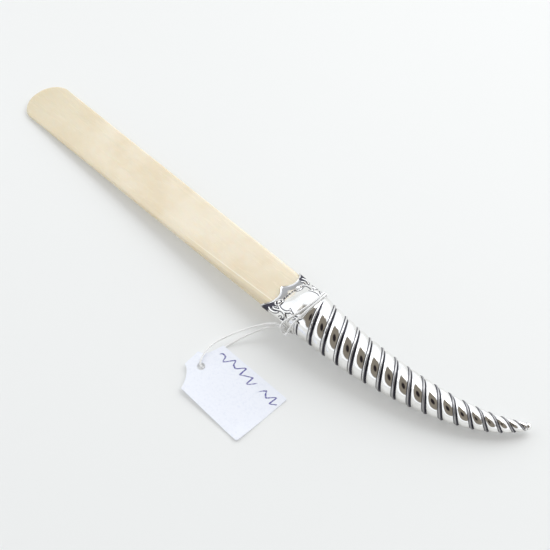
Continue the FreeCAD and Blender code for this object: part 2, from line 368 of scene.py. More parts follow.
def makeCotton(look):
    material, tree = startMaterial("cotton", Sheen_Weight=0.35, Sheen_Roughness=0.5)
    place = objectPlace(tree)
    fibres = noiseOf(tree, place, look["fibre"], 3.0, 0.6)
    stains = noiseOf(tree, place, look["stain"], 3.0)
    colour = mixColour(tree, stains.smooth(0.4, 0.7), look["clean"], look["stained"])
    colour = mixColour(tree, fibres.smooth(0.55, 0.8, 0.0, 0.35), colour, look["shade"])
    return finishMaterial(material, colour, fibres.smooth(0.2, 0.8, 0.78, 0.95), fibres, 0.00008, 0.8)


cardSet = {
    "paper": (0.86, 0.885, 0.95),
    "fibre": (0.80, 0.83, 0.91),
    "ink": (0.07, 0.06, 0.30),
    # pen strokes: middle and half length along the card, waves, height, place across, slope
    "strokes": ((12.6, 10.6, 13.0, 2.5, 10.6, -0.02), (31.6, 4.9, 7.0, 2.2, 9.6, -0.10)),
    "pen": 0.2,               # half the width of a line
    "slant": 0.4,
}


def makeCard(look):
    # the pen strokes are plain waves over the card's own map, in millimetres from its hole
    material, tree = startMaterial("card", Specular_IOR_Level=0.3)
    place = objectPlace(tree)
    fibres = noiseOf(tree, place, 900.0, 5.0, 0.65)
    colour = mixColour(tree, fibres.smooth(0.45, 0.75), look["paper"], look["fibre"])
    along, across = splitPlace(tree, addNode(tree, "ShaderNodeUVMap", uv_map="card").outputs[0])
    inked = None
    for middle, half, beat, height, side, lean in look["strokes"]:
        local = along - middle - (across - side) * look["slant"]
        size = (local * 0.9 + middle).make("SINE") * (0.4 * height) + 0.6 * height
        beats = local * (beat / half)
        wave = beats.make("SINE") * size + side + local * lean
        steep = beats.make("COSINE") * size * (beat / half)
        gap = (across - wave).make("ABSOLUTE") / ((steep * steep + 1.0) ** 0.5)
        near = gap.smooth(look["pen"], look["pen"] * 2.2, 1.0, 0.0)
        within = local.make("ABSOLUTE").smooth(half - 0.3, half, 1.0, 0.0)
        stroke = near * within
        inked = stroke if inked is None else inked.make("MAXIMUM", stroke)
    patchy = noiseOf(tree, place, 1400.0, 2.0).smooth(0.3, 0.6, 0.55, 1.0)
    colour = mixColour(tree, inked * patchy, colour, look["ink"])
    return finishMaterial(material, colour, fibres.smooth(0.3, 0.7, 0.6, 0.78), fibres, 0.00003, 0.5)


pitchSet = {
    "dark": (0.02, 0.016, 0.013),
    "pale": (0.10, 0.085, 0.07),
    "grit": 700.0,
}


def makePitch(look):
    material, tree = startMaterial("pitch")
    grit = noiseOf(tree, objectPlace(tree), look["grit"], 5.0, 0.7)
    colour = mixColour(tree, grit, look["dark"], look["pale"])
    return finishMaterial(material, colour, grit.smooth(0.3, 0.7, 0.45, 0.8), grit, 0.0002)


silver = makeSilver(silverSet)
bone = makeBone(boneSet)
cotton = makeCotton(cottonSet)
card = makeCard(cardSet)
pitch = makePitch(pitchSet)
print("materials ready")

# the knife's axis and its sections
neckSet = {
    "rootHeight": 10.0,
    "bladeLength": 169.8,
    "tipThickness": 1.5,
    "radius": 10.6,
    "station": 16.0,
    "vanish": 125.5,          # where the horn's radius would reach zero
    "power": 0.54,
    # the bend starts at a station; then its even degrees, its hooked degrees and their power
    "bend": (12.2, 22.8, 36.4, 5.3),
    "lift": (2.1, 16.0, 50.0),  # height off the table, and the stations between which it is lost
    "tipLift": 2.0,
    "join": 24.0,             # the blade's line becomes the horn's over this length
    "shift": (1.2, 16.0),     # sideways, over this length
    "start": -4.0,            # the axis is worked out from here, in steps
    "step": 0.25,
}


def smooth(low, high, value):
    share = np.clip((value - low) / (high - low), 0.0, 1.0)
    return share * share * (3.0 - 2.0 * share)


def hornShare(station):
    return (station - neckSet["station"]) / (neckSet["vanish"] - neckSet["station"])


def hornRadius(station):
    return neckSet["radius"] * (1.0 - hornShare(station)) ** neckSet["power"]


def heading(station):
    start, even, hook, power = neckSet["bend"]
    share = np.maximum(0.0, (station - start) / (neckSet["vanish"] - start))
    return np.radians(even * share + hook * share ** power)


def axisHeight(station):
    rise = (neckSet["rootHeight"] - neckSet["tipThickness"] / 2) / neckSet["bladeLength"]
    bladeLine = neckSet["rootHeight"] + rise * station
    height, high, low = neckSet["lift"]
    lift = height * (1.0 - smooth(high, low, station))
    lift = lift + neckSet["tipLift"] * np.maximum(0.0, hornShare(station)) ** 3
    hornLine = hornRadius(np.maximum(neckSet["station"], station)) + lift
    mix = smooth(0.0, neckSet["join"], station)
    return bladeLine * (1.0 - mix) + hornLine * mix


axisStations = np.arange(neckSet["start"], neckSet["vanish"], neckSet["step"])
axisTurns = heading(axisStations[:-1] + neckSet["step"] / 2)
axisX = neckSet["start"] + np.concatenate([[0], np.cumsum(np.cos(axisTurns))]) * neckSet["step"]
axisY = np.concatenate([[0], np.cumsum(np.sin(axisTurns))]) * neckSet["step"]


def axisPoint(station):
    station = np.asarray(station, float)
    aside, length = neckSet["shift"]
    x = np.interp(station, axisStations, axisX)
    y = np.interp(station, axisStations, axisY) - aside * smooth(0.0, length, station)
    return np.stack([x, y, axisHeight(station)], axis=-1)


def onSection(station, angle, halfWidth, halfHeight, power):
    across = np.sign(np.cos(angle)) * np.abs(np.cos(angle)) ** power * halfWidth
    above = np.sign(np.sin(angle)) * np.abs(np.sin(angle)) ** power * halfHeight
    turn = heading(station)
    return axisPoint(station) + np.stack([-np.sin(turn) * across, np.cos(turn) * across, above], axis=-1)


# the cotton string and its hitch
stringSet = {
    "diameter": 0.9,
    "length": 82.8,
    "plies": 3,
    "twist": 2.3,             # millimetres along the string for one turn of its plies
    "steps": 12,              # rings in one turn
    "sides": 8,
    "plyOffset": 0.5,         # shares of the string's radius
    "plyRadius": 0.52,
}
stringRoute = [
    (10.4, -13.2, 10.1), (7.4, -15.0, 9.1), (3.7, -18.9, 7.2), (0.1, -23.8, 5.2),
    (-2.8, -29.4, 3.7), (-4.7, -35.2, 2.9), (-4.8, -39.9, 2.6), (-3.8, -43.9, 2.5),
    (-2.1, -47.3, 2.2), (0.2, -47.6, 0.5), (-0.3, -44.2, 0.48), (-1.2, -39.2, 0.48),
    (-1.3, -34.0, 0.48), (-0.1, -29.4, 0.9), (2.2, -24.6, 3.4), (5.0, -19.9, 5.9),
    (8.0, -15.7, 8.0), (11.2, -13.3, 9.1),
]
hitchStation = 17.0
# turns round the neck: station, degrees and radius
hitchTurns = [
    (14.5, 213, 11.6), (14.3, 240, 11.55), (14.2, 270, 11.55), (14.3, 300, 11.55),
    (14.6, 330, 11.55), (15.3, 360, 11.55), (17.2, 390, 11.55), (19.4, 420, 11.55),
    (20.1, 448, 11.55), (19.0, 476, 11.55), (16.4, 503, 11.7), (13.6, 525, 12.7),
    (13.0, 545, 13.3), (14.9, 560, 13.3), (17.0, 546, 13.2), (17.8, 527, 12.6),
    (19.0, 503, 11.7), (20.5, 476, 11.55), (21.2, 448, 11.55), (20.4, 419, 11.55),
    (18.5, 390, 11.55), (16.5, 359, 11.55), (15.7, 329, 11.55), (15.4, 299, 11.55),
    (15.3, 269, 11.55), (15.4, 239, 11.55), (15.6, 213, 11.6),
]
hitchExits = [(14.5, -12.9, 10.6), (15.9, -12.9, 9.6)]


def roundNeck(station, degrees, radius):
    middle = axisPoint(hitchStation)
    way = axisPoint(hitchStation + 1.0) - axisPoint(hitchStation - 1.0)
    way /= np.linalg.norm(way)
    side = np.cross((0, 0, 1), way)
    side /= np.linalg.norm(side)
    up = np.cross(way, side)
    angle = math.radians(degrees)
    return middle + way * (station - hitchStation) + radius * (side * math.cos(angle) + up * math.sin(angle))


def routeCurve(name, route):
    data = bpy.data.curves.new(name, "CURVE")
    data.dimensions = "3D"
    data.resolution_u = 16
    spline = data.splines.new("NURBS")
    spline.points.add(len(route) - 1)
    for point, place in zip(spline.points, toFrame(route)):
        point.co = (*place, 1.0)
    spline.order_u = 3
    spline.use_endpoint_u = True
    curve = bpy.data.objects.new(name, data)
    scene.collection.objects.link(curve)
    return curve


def plyTree():
    # plies of round yarn wound about the curve that the tree is given
    tree, inputs = startTree("plies", {
        "Geometry": "Geometry", "Step": "Float", "Twist": "Float", "Offset": "Float",
        "Ply Radius": "Float", "Sides": "Int", "Material": "Material"})
    even = addNode(tree, "GeometryNodeResampleCurve", {
        "Curve": inputs["Geometry"], "Length": inputs["Step"]}, mode="LENGTH")
    ring = addNode(tree, "GeometryNodeCurvePrimitiveCircle", {
        "Resolution": inputs["Sides"], "Radius": inputs["Ply Radius"]})
    along = Sum(tree, addNode(tree, "GeometryNodeSplineParameter").outputs["Length"])
    normal = addNode(tree, "GeometryNodeInputNormal")
    tangent = addNode(tree, "GeometryNodeInputTangent")
    side = vectorMath(tree, "CROSS_PRODUCT", tangent, normal)
    joined = tree.nodes.new("GeometryNodeJoinGeometry")
    for ply in range(stringSet["plies"]):
        turn = along / inputs["Twist"] * twoPi + ply * twoPi / stringSet["plies"]
        shares = []
        for operation, way in (("COSINE", normal), ("SINE", side)):
            reach = turn.make(operation) * inputs["Offset"]
            shares.append(addNode(tree, "ShaderNodeVectorMath", {0: way, "Scale": reach}, operation="SCALE"))
        wound = addNode(tree, "GeometryNodeSetPosition", {
            "Geometry": even, "Offset": vectorMath(tree, "ADD", *shares)})
        yarn = addNode(tree, "GeometryNodeCurveToMesh", {
            "Curve": wound, "Profile Curve": ring, "Fill Caps": True})
        tree.links.new(yarn.outputs[0], joined.inputs[0])
    endTree(tree, joined.outputs[0], inputs["Material"])
    return tree


def makeString(name, route, tree):
    # the yarn along a route, and the middle line that it is wound about
    curve = routeCurve(name, route)
    bare = bpy.data.meshes.new_from_object(curve)
    line = [tuple(v.co) for v in bare.vertices]
    bpy.data.meshes.remove(bare)
    half = stringSet["diameter"] / 2
    growNodes(curve, tree, {
        "Step": stringSet["twist"] / stringSet["steps"] * mm,
        "Twist": stringSet["twist"] * mm,
        "Offset": half * stringSet["plyOffset"] * mm,
        "Ply Radius": half * stringSet["plyRadius"] * mm,
        "Sides": stringSet["sides"],
        "Material": cotton,
    })
    return settle(curve), line


plies = plyTree()
string, stringLine = makeString("cottonString", stringRoute, plies)
finishPiece(string, "string", "cotton", "string")
hitchRoute = [stringRoute[0], hitchExits[0]] + [roundNeck(*row) for row in hitchTurns]
hitchRoute += [hitchExits[1], stringRoute[-1]]
finishPiece(makeString("cottonHitch", hitchRoute, plies)[0], "string", "cotton", "string_hitch")
print("string ready")

# the fluted horn
silverWall = 0.35
hornSet = {
    "Rows": 400,
    "Columns": 80,
    "First Station": 20.5,
    "Last Station": 121.5,
    "Pitch": 6.9,
    "Origin": 18.0,
    "Lean Side": 0.159,
    "Lean Top": 0.167,
    "Rib Share": 0.21,        # the narrow rib's share of the pitch
    "Fine Groove": 0.6,       # depth of the fine groove as a share of the main one's
    "Roundness": 2.2,         # how suddenly the lobes fall into their grooves
    "Depth Share": 0.065,     # the main groove's depth is this share of the radius and the least depth
    "Least Depth": 0.45,
    "Fade End": 24.5,
    "Start Ease": 12.0,       # the rows come to lean with the flutes over this length, and end over that
    "End Ease": 10.0,
    "Crowd Start": 84.0,      # from here the flutes crowd together towards the tip
    "Crowding": 2.2,
}
# blackening in the flutes: two shares of the pitch, or two stations, and how dark it is at each
fluteBlackSet = {
    "main": (0.02, 0.11, 1.0, 0.0),
    "fine": (0.01, 0.065, 0.9, 0.0),
    "rib": (30.0, 85.0, 0.26, 0.56),
    "start": (0.2, 1.6),      # it comes in between these distances from the horn's first station
}


def hornTree():
    # a lattice bent round the axis, with a wide lobe and a narrow rib wound along it
    kinds = {label: "Int" if isinstance(value, int) else "Float" for label, value in hornSet.items()}
    tree, inputs = startTree("flutes", {
        "Geometry": "Geometry", **kinds, "First Angle": "Float", "Material": "Material"})
    values = {label: Sum(tree, inputs[label]) for label in kinds}
    sheet = addNode(tree, "GeometryNodeMeshGrid", {
        "Size X": 1.0, "Size Y": 1.0, "Vertices X": inputs["Rows"], "Vertices Y": inputs["Columns"]})
    along, about = splitPlace(tree, addNode(tree, "GeometryNodeInputPosition").outputs[0])
    along, about = along + 0.5, about + 0.5
    first, last, pitchOf = values["First Station"], values["Last Station"], values["Pitch"]
    angle = about * math.pi + inputs["First Angle"]
    cosine, sine = angle.make("COSINE"), angle.make("SINE")
    leanOf = cosine * values["Lean Side"] - sine * values["Lean Top"]
    # rows lean with the flutes between the two ends, so that each groove follows an edge
    plain = first + (last - first) * along
    slant = (about - 0.5) * pitchOf - hornRadius(plain) * leanOf
    ease = plain.smooth(first, first + values["Start Ease"])
    ease = ease * plain.smooth(last - values["End Ease"], last, 1.0, 0.0)
    station = plain + slant * ease
    radius = hornRadius(station)
    crowdStart = values["Crowd Start"]
    crowd = ((station - crowdStart).make("MAXIMUM", 0.0) / (last - crowdStart)) ** values["Crowding"]
    phase = (station - values["Origin"] + radius * leanOf) / pitchOf - angle / math.pi + crowd
    place = phase.make("FLOORED_MODULO", 1.0)
    rib = values["Rib Share"]
    inRib = place.make("GREATER_THAN", 1.0 - rib)
    inLobe = 1.0 - inRib
    middle = (1.0 - rib) / 2 * inLobe + (1.0 - rib / 2) * inRib
    half = (1.0 - rib) / 2 * inLobe + rib / 2 * inRib
    offset = (place - middle) / half
    crown = offset.make("ABSOLUTE") ** values["Roundness"]
    # the fine groove is where a lobe ends and its rib starts
    towardsFine = (offset * (inLobe * 2.0 - 1.0)).smooth(-0.25, 0.25)
    share = 1.0 - towardsFine * (1.0 - values["Fine Groove"])
    fade = station.smooth(first, values["Fade End"])
    depth = (radius * values["Depth Share"] + values["Least Depth"]) * fade * crown * share
    crest = radius - depth
    # the axis comes from the points of the piece that carries the tree
    step = (station - neckSet["start"]) / neckSet["step"]
    ends = []
    for extra in (0.0, 1.0):
        ends.append(addNode(tree, "GeometryNodeSampleIndex", {
            "Geometry": inputs["Geometry"], "Index": (step + extra).make("FLOOR"),
            "Value": addNode(tree, "GeometryNodeInputPosition")}, data_type="FLOAT_VECTOR", domain="POINT"))
    between = addNode(tree, "ShaderNodeMix", {
        0: step.make("FRACT"), 4: ends[0], 5: ends[1]}, data_type="VECTOR")
    start, even, hook, power = neckSet["bend"]
    bendShare = (station - start) / (neckSet["vanish"] - start)
    turn = (bendShare * even + (bendShare ** power) * hook) * (math.pi / 180)
    across = crest * cosine * mm
    reach = addNode(tree, "ShaderNodeCombineXYZ", {
        "X": turn.make("SINE") * across * -1.0, "Y": turn.make("COSINE") * across, "Z": crest * sine * mm})
    spotOf = vectorMath(tree, "ADD", between.outputs[1], reach.outputs[0])
    # both grooves are black at the bottom: the main one widely, the fine one in a thin line
    toMain = place.make("MINIMUM", 1.0 - place)
    toFine = (place - (1.0 - rib)).make("ABSOLUTE")
    dark = toMain.smooth(*fluteBlackSet["main"]).make("MAXIMUM", toFine.smooth(*fluteBlackSet["fine"]))
    dark = dark.make("MAXIMUM", inRib * station.smooth(*fluteBlackSet["rib"]))
    low, high = fluteBlackSet["start"]
    worn = addNode(tree, "GeometryNodeStoreNamedAttribute", {
        "Geometry": sheet, "Name": "tarnish", "Value": dark * station.smooth(first + low, first + high)},
        data_type="FLOAT", domain="POINT")
    bent = addNode(tree, "GeometryNodeSetPosition", {
        "Geometry": worn, "Position": spotOf})
    flipped = addNode(tree, "GeometryNodeFlipFaces", {"Mesh": bent})
    endTree(tree, flipped.outputs[0], inputs["Material"])
    return tree


flutes = hornTree()
for name, firstAngle in (("top", 0.0), ("bottom", math.pi)):
    carrier = meshPiece("axis", toFrame(axisPoint(axisStations)), [], None)
    growNodes(carrier, flutes, {**hornSet, "First Angle": firstAngle, "Material": silver})
    thicken(carrier, silverWall)
    horn = settle(carrier, "hornSkin." + name, sharp=50)
    finishPiece(horn, "knife", "silver", "handle_" + name + "_shell")
print("horn ready")

# the collar
collarSet = {
    "rows": 150,
    "columns": 220,
    "end": 20.5,
    "frontHalfWidth": 11.7,
    "frontHalfHeight": 2.95,
    "cusp": 1.3,
    "dip": 2.4,
    "cuspPower": 0.8,
    "squareness": 0.62,       # the front's outline is a squared ellipse, the back's is round
    "rim": (0.18, 0.16),      # width and height of the bead along the front edge
    "middle": 99.0,           # degrees: the ornament sits a little towards the near side
    "volutes": ((5.6, 123.0), (7.5, 76.0)),  # station and degrees
    "coil": (1.55, 1.45, 1.0, 0.6),  # outer radius, inner radius, turns, and radians where it starts
    "coilLine": 0.7,          # width of its line as a share of the others'
    "stretch": 1.4,           # the coils are longer along the knife than across it
    "ball": (0.78, 0.8),      # radius and height of the ball in each volute
    "line": (0.40, 0.45),     # half width and height of a scroll line
    "crease": (1.0, 0.34),    # blackening beside a line, and its width
    "band": (0.5, 1.0, 3.6, 5.4),  # the sunk band: where it starts, is full, fades and ends
    "bandDepth": 0.12,
    "seamFade": (0.4, 0.75, 1.05),  # it is fainter by this share between these radians from the seam
    "ground": 0.95,           # its painted dark reflection: how dark the sunk band is painted
    "calm": 0.6,              # the ornament dies out over this length at the back
    "shine": (2.6, 3.0),      # how soon the ornament and the rim stand clear of the blackening
    "rimLine": (0.12, 0.14, 0.6),  # the dark line behind the rim: gap, width and darkness
    # black hollows: station, degrees and radius
    "hollows": (
        (3.6, 140, 1.6), (5.6, 123, 2.4), (7.5, 76, 2.4), (2.6, 48, 1.1),
        (6.0, 111, 1.0), (6.1, 105, 1.0), (6.2, 99, 1.0), (6.3, 93, 1.0), (6.5, 88, 1.0), (8.6, 50, 0.8),
        (6.4, 147, 0.8), (7.8, 145, 0.85), (9.4, 146, 0.85), (11.0, 149, 0.85), (12.4, 155, 0.85),
        (12.8, 163, 0.85), (12.0, 170, 0.85), (11.2, 176, 0.8),
    ),
    # near the table on one side the flutes run on over the collar: stations and degrees
    "flutedFrom": (13.0, 15.5),
    "flutedBetween": (146.0, 158.0, 225.0, 245.0),
    "grooveDepth": 0.45,
    "grooveWidth": (0.12, 0.08),  # the main one's and the fine one's, as shares of the pitch
}
# scroll lines as station and degrees from the ornament's middle, mirrored to the other side
scrollLines = [
    [(6.3, 31), (7.4, 38), (9.0, 44), (11.0, 46), (13.0, 43), (13.9, 38), (13.2, 34)],
    [(12.9, 41), (14.6, 39), (16.6, 43), (18.4, 41), (19.6, 34), (19.9, 24), (20.1, 12), (20.2, 0)],
    [(4.4, 44), (5.4, 50), (7.2, 49), (9.4, 47), (11.6, 50), (13.0, 58), (13.2, 68), (12.2, 76),
     (10.8, 76), (10.0, 70), (10.8, 65)],
    [(17.6, 80), (15.9, 76), (15.4, 67), (16.4, 58), (18.0, 51), (19.6, 51), (19.8, 57), (18.8, 60)],
    [(2.9, 56), (4.0, 62), (5.6, 64), (7.0, 61), (8.2, 56)],
]


def collarSize(station):
    grow = smooth(0.0, neckSet["station"] - 0.5, station)
    radius = hornRadius(np.maximum(neckSet["station"], station))
    halfWidth = collarSet["frontHalfWidth"] * (1 - grow) + radius * grow
    halfHeight = collarSet["frontHalfHeight"] * (1 - grow) + radius * grow
    square = collarSet["squareness"]
    return halfWidth, halfHeight, square + (1.0 - square) * smooth(0.0, 12.0, station)


def onCollar(station, angle):
    halfWidth, halfHeight, power = collarSize(station)
    return onSection(station, angle, halfWidth, halfHeight, power)


def curveThrough(points, count=60):
    # a smooth line through a few chosen points
    points = np.array(points, float)
    ends = np.vstack([2 * points[0] - points[1], points, 2 * points[-1] - points[-2]])
    line = []
    for t in np.linspace(0, len(points) - 1.0001, count):
        i = int(t)
        f = t - i
        a, b, c, d = ends[i:i + 4]
        line.append(0.5 * (2 * b + (c - a) * f + (2 * a - 5 * b + 4 * c - d) * f ** 2
                           + (3 * b - a - 3 * c + d) * f ** 3))
    return np.array(line)


def collarRelief(look, points, half):
    # height of the struck ornament and its blackening at each point of one half
    base = 0.0 if half == "top" else 180.0
    height = np.zeros(len(points))
    crease = np.zeros(len(points))
    strokes = []
    for mirror in (1, -1):
        for line in scrollLines:
            route = curveThrough(line)
            angle = np.radians(base + look["middle"] + mirror * route[:, 1])
            taper = 0.7 + 0.3 * np.sin(np.linspace(0.25, 2.9, len(route)))
            strokes.append((onCollar(route[:, 0], angle), *look["line"], taper))
        station, degrees = look["volutes"][0 if mirror > 0 else 1]
        outer, inner, turns, startTurn = look["coil"]
        angle = math.radians(base + degrees)
        centre = onCollar(station, angle)
        ahead = onCollar(station + 0.2, angle) - centre
        beside = onCollar(station, angle + 0.02 * mirror) - centre
        ahead /= np.linalg.norm(ahead)
        beside /= np.linalg.norm(beside)
        t = np.linspace(0, 1, 90)[:, None]
        reach = outer + (inner - outer) * t
        turn = t * twoPi * turns - startTurn
        coil = centre + ahead * reach * look["stretch"] * np.sin(turn) + beside * reach * np.cos(turn)
        width, rise = look["line"]
        strokes.append((coil, width * look["coilLine"], rise, np.ones(len(coil))))
        ballRadius, ballHeight = look["ball"]
        strokes.append((centre[None], ballRadius, ballHeight, np.ones(1)))
    for line, width, rise, taper in strokes:
        away = np.full(len(points), 1e9)
        near = np.ones(len(points))
        for place, thin in zip(line, taper):
            d = np.linalg.norm(points - place, axis=1) / thin
            closer = d < away
            away[closer] = d[closer]
            near[closer] = thin
        ridge = np.sqrt(np.clip(1 - (away / width) ** 2, 0, 1)) * rise * near
        height = np.maximum(height, ridge)
        dark, spread = look["crease"]
        crease = np.maximum(crease, dark * np.exp(-((away - width - 0.1) / spread) ** 2))
    for station, degrees, radius in look["hollows"]:
        away = np.linalg.norm(points - onCollar(station, math.radians(base + degrees)), axis=1)
        crease = np.maximum(crease, np.exp(-(away / radius) ** 4))
    return height, crease


def makeCollar(look, half):
    base = 0.0 if half == "top" else math.pi
    rows, columns = look["rows"], look["columns"]
    angle = np.linspace(base, base + math.pi, columns)
    across = np.abs(np.cos(angle)) ** look["squareness"]
    cusp, dip = look["cusp"], look["dip"]
    front = -cusp + (dip + cusp) * np.abs(np.sin(math.pi * across)) ** look["cuspPower"]
    share = np.linspace(0, 1, rows)[:, None]
    station = front + (look["end"] - front) * share
    angle = np.broadcast_to(angle, station.shape)
    points = onCollar(station, angle)
    ahead, around = np.gradient(points, axis=0), np.gradient(points, axis=1)
    outward = np.cross(around, ahead)
    outward /= np.maximum(np.linalg.norm(outward, axis=-1, keepdims=True), 1e-9)
    relief, crease = collarRelief(look, points.reshape(-1, 3), half)
    relief, crease = relief.reshape(station.shape), crease.reshape(station.shape)
    fromEdge = station - front
    rimWidth, rimHeight = look["rim"]
    rim = np.sqrt(np.clip(1 - ((fromEdge - rimWidth) / rimWidth) ** 2, 0, 1)) * rimHeight
    fromSeam = np.minimum(angle - base, base + math.pi - angle)
    bandStart, bandFull, bandFade, bandEnd = look["band"]
    fainter, nearSeam, offSeam = look["seamFade"]
    field = smooth(bandStart, bandFull, fromEdge) * (1 - smooth(bandFade, bandEnd, fromEdge))
    field = field * (1 - fainter * smooth(nearSeam, offSeam, fromSeam))
    ground = -look["bandDepth"] * field
    calm = 1 - smooth(look["end"] - look["calm"], look["end"], station)
    low, high, lower, lowest = np.radians(look["flutedBetween"])
    fluted = smooth(*look["flutedFrom"], station) * smooth(low, high, angle)
    fluted = fluted * (1 - smooth(lower, lowest, angle))
    radius = hornRadius(np.maximum(neckSet["station"], station))
    lean = radius * (hornSet["Lean Side"] * np.cos(angle) - hornSet["Lean Top"] * np.sin(angle))
    place = np.mod((station - hornSet["Origin"] + lean) / hornSet["Pitch"] - angle / math.pi, 1.0)
    toMain = np.minimum(place, 1 - place)
    toFine = np.abs(place - (1 - hornSet["Rib Share"]))
    mainWidth, fineWidth = look["grooveWidth"]
    fine = hornSet["Fine Groove"] * (1 - smooth(0.0, fineWidth, toFine))
    grooves = np.maximum(1 - smooth(0.0, mainWidth, toMain), fine)
    relief = relief * (1 - fluted)
    crease = np.maximum(crease * (1 - fluted), grooves * fluted)
    height = (np.maximum(relief, rim) + ground) * calm - look["grooveDepth"] * grooves * fluted
    reliefShine, rimShine = look["shine"]
    # the creases are blackened hollows; the sunk band's darkening is a painted dark reflection
    tarnish = np.maximum(crease * np.maximum(calm, fluted), field * look["ground"])
    tarnish = np.clip(tarnish - relief * reliefShine - rim * rimShine, 0, 1)
    gap, spread, dark = look["rimLine"]
    tarnish = np.maximum(tarnish, np.exp(-((fromEdge - 2 * rimWidth - gap) / spread) ** 2) * dark)
    points = points + outward * height[..., None]
    collar = meshPiece("collarSkin." + half, toFrame(points.reshape(-1, 3)), gridFaces(rows, columns), silver)
    storeTarnishAndReflection(collar, tarnish)
    thicken(collar, silverWall)
    return settle(collar, sharp=60)


for half in ("top", "bottom"):
    finishPiece(makeCollar(collarSet, half), "knife", "silver", "collar_" + half + "_shell")
print("collar ready")

# the row of bars between the collar's volutes
barSet = {
    "Count": 5,
    "Width": 0.21,
    "Length": 0.62,
    "Height": 0.4,
    "stations": (6.0, 6.5),
    "degrees": (112.0, 88.0),
    "points": 7,              # in the line that the bars stand across
}


def barTree():
    # small bars across a line, standing on the surface that they are given
    tree, inputs = startTree("bars", {
        "Geometry": "Geometry", "Surface": "Object", "Count": "Int", "Width": "Float", "Length": "Float",
        "Height": "Float", "Material": "Material"})
    even = addNode(tree, "GeometryNodeResampleCurve", {"Curve": inputs["Geometry"], "Count": inputs["Count"]})
    tangent = addNode(tree, "GeometryNodeInputTangent")
    surface = addNode(tree, "GeometryNodeObjectInfo", {"Object": inputs["Surface"]}).outputs["Geometry"]
    outward = addNode(tree, "GeometryNodeSampleNearestSurface", {
        "Mesh": surface, "Value": addNode(tree, "GeometryNodeInputNormal")}, data_type="FLOAT_VECTOR")
    stand = addNode(tree, "FunctionNodeAlignRotationToVector", {"Vector": outward}, axis="Z")
    across = addNode(tree, "FunctionNodeAlignRotationToVector", {
        "Rotation": stand, "Vector": tangent}, axis="X", pivot_axis="Z")
    ball = addNode(tree, "GeometryNodeMeshUVSphere", {"Segments": 16, "Rings": 10, "Radius": 1.0})
    size = addNode(tree, "ShaderNodeCombineXYZ", {
        "X": inputs["Width"], "Y": inputs["Length"], "Z": inputs["Height"]})
    bars = addNode(tree, "GeometryNodeInstanceOnPoints", {
        "Points": even, "Instance": ball, "Rotation": across,
        "Scale": size})
    endTree(tree, bars.outputs[0], inputs["Material"])
    return tree


bars = barTree()
for half in ("top", "bottom"):
    base = 0.0 if half == "top" else 180.0
    degrees = base + np.linspace(*barSet["degrees"], barSet["points"])
    line = onCollar(np.linspace(*barSet["stations"], barSet["points"]), np.radians(degrees))
    curve = routeCurve("collarBars." + half, line)
    growNodes(curve, bars, {
        "Surface": bpy.data.objects["collarSkin." + half], "Count": barSet["Count"], "Material": silver,
        **{label: barSet[label] * mm for label in ("Width", "Length", "Height")}})
    finishPiece(settle(curve), "knife", "silver")
print("collar bars ready")

# the bead at the horn's tip
beadSet = {
    "sides": 48,
    # radius and distance past the horn's end, down the bead's outline
    "outline": [
        (1.70, -0.6), (1.80, -0.2), (1.82, 0.1), (1.66, 0.32), (1.52, 0.42), (1.60, 0.62),
        (1.70, 0.95), (1.66, 1.35), (1.46, 1.78), (1.10, 2.14), (0.66, 2.36), (0.3, 2.45),
    ],
    "crease": (0.44, 0.12, 0.9),  # the dark line round its neck: place, width and darkness
}


def makeBead(look):
    end = hornSet["Last Station"]
    turn = float(heading(end))
    way = np.array([math.cos(turn), math.sin(turn), 0.0])
    side = np.array([-way[1], way[0], 0.0])
    centre = axisPoint(end)
    sides = look["sides"]
    outline = curveThrough(look["outline"], 40)
    points = []
    for radius, ahead in outline:
        for k in range(sides):
            angle = twoPi * k / sides
            outward = side * math.cos(angle) + np.array([0, 0, math.sin(angle)])
            points.append(centre + way * ahead + radius * outward)
    rings = len(outline)
    faces = gridFaces(rings, sides, closed=True)
    points += [centre + way * outline[0][1], centre + way * outline[-1][1]]
    back, tip = len(points) - 2, len(points) - 1
    for k in range(sides):
        after = (k + 1) % sides
        faces.append((back, after, k))
        faces.append((tip, (rings - 1) * sides + k, (rings - 1) * sides + after))
    bead = meshPiece("tipBead", toFrame(points), faces, silver)
    ahead = np.repeat(outline[:, 1], sides)
    place, wide, dark = look["crease"]
    storeTarnishAndReflection(bead, np.append(np.exp(-((ahead - place) / wide) ** 2) * dark, [0, 0]))
    return bead


finishPiece(makeBead(beadSet), "knife", "silver", "tip_bead")
print("bead ready")

# the blade
boneBladeSet = {
    "tipWidth": 24.0,
    "rootWidth": 22.2,
    "tipRound": 9.6,
    "bevel": 0.7,
    # distance from the collar's front edge, thickness, and land along each edge
    "stations": [
        (-170.8, 1.5, 0.7), (-107.4, 2.0, 0.9), (-45.0, 2.4, 1.2), (-22.5, 3.2, 1.3), (2.0, 4.4, 1.3),
    ],
    "inCollar": 5.0,
    "cornerRadius": 0.42,
    "cornerSteps": 4,
    "nose": 0.9,              # the tip's edge is rounded over this length
    "ringGap": 2.0,
}


def roundCorners(corners, radius, steps):
    # each corner becomes a short arc that touches both of its sides
    points = []
    count = len(corners)
    for k in range(count):
        before, here, after = corners[k - 1], corners[k], corners[(k + 1) % count]
        into, out = before - here, after - here
        reach = min(radius, 0.45 * np.linalg.norm(into), 0.45 * np.linalg.norm(out))
        start = here + into / max(np.linalg.norm(into), 1e-9) * reach
        end = here + out / max(np.linalg.norm(out), 1e-9) * reach
        for t in np.linspace(0, 1, steps):
            points.append(start * (1 - t) ** 2 + here * 2 * t * (1 - t) + end * t ** 2)
    return points


